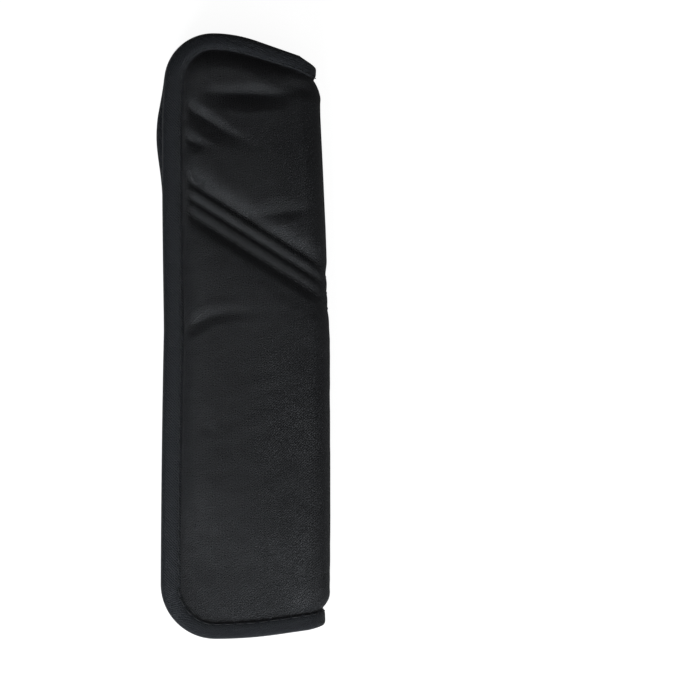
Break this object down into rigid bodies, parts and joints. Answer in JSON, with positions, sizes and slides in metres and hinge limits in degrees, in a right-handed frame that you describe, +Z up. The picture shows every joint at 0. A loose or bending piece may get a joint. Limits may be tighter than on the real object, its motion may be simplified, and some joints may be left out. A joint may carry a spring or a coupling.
{
  "type": "seat belt shoulder pad",
  "caption": "Padded fabric sleeve that folds lengthwise round seat belt webbing, with slanting quilted seams, a bound edge and a hook and loop closure.",
  "frame": {"origin": "middle of the part's box in X and Y, on the surface that the back half lies on", "axes": "+Z up, off the surface that it lies on; +Y along the length, toward the end with the steeper slope; +X toward the fold"},
  "size_m": [0.0712, 0.2478, 0.0227],
  "materials": {
    "cover_satin": "black satin weave with a soft sheen",
    "foam": "open-cell foam",
    "lining_cloth": "plain matt weave",
    "binding_tape": "woven tape",
    "thread": "twisted sewing thread",
    "hook_tape": "stiff hooked tape",
    "loop_tape": "brushed loop tape"
  },
  "bodies": {
    "root": {"outer_cover": "cover_satin", "foam_pad": "foam", "lining": "lining_cloth", "edge_binding": "binding_tape", "binding_stitching": "thread", "hook_strip": "hook_tape", "loop_strip": "loop_tape", "seam_thread_1": "thread", "seam_thread_2": "thread", "seam_thread_3": "thread"}
  },
  "joints": []
}
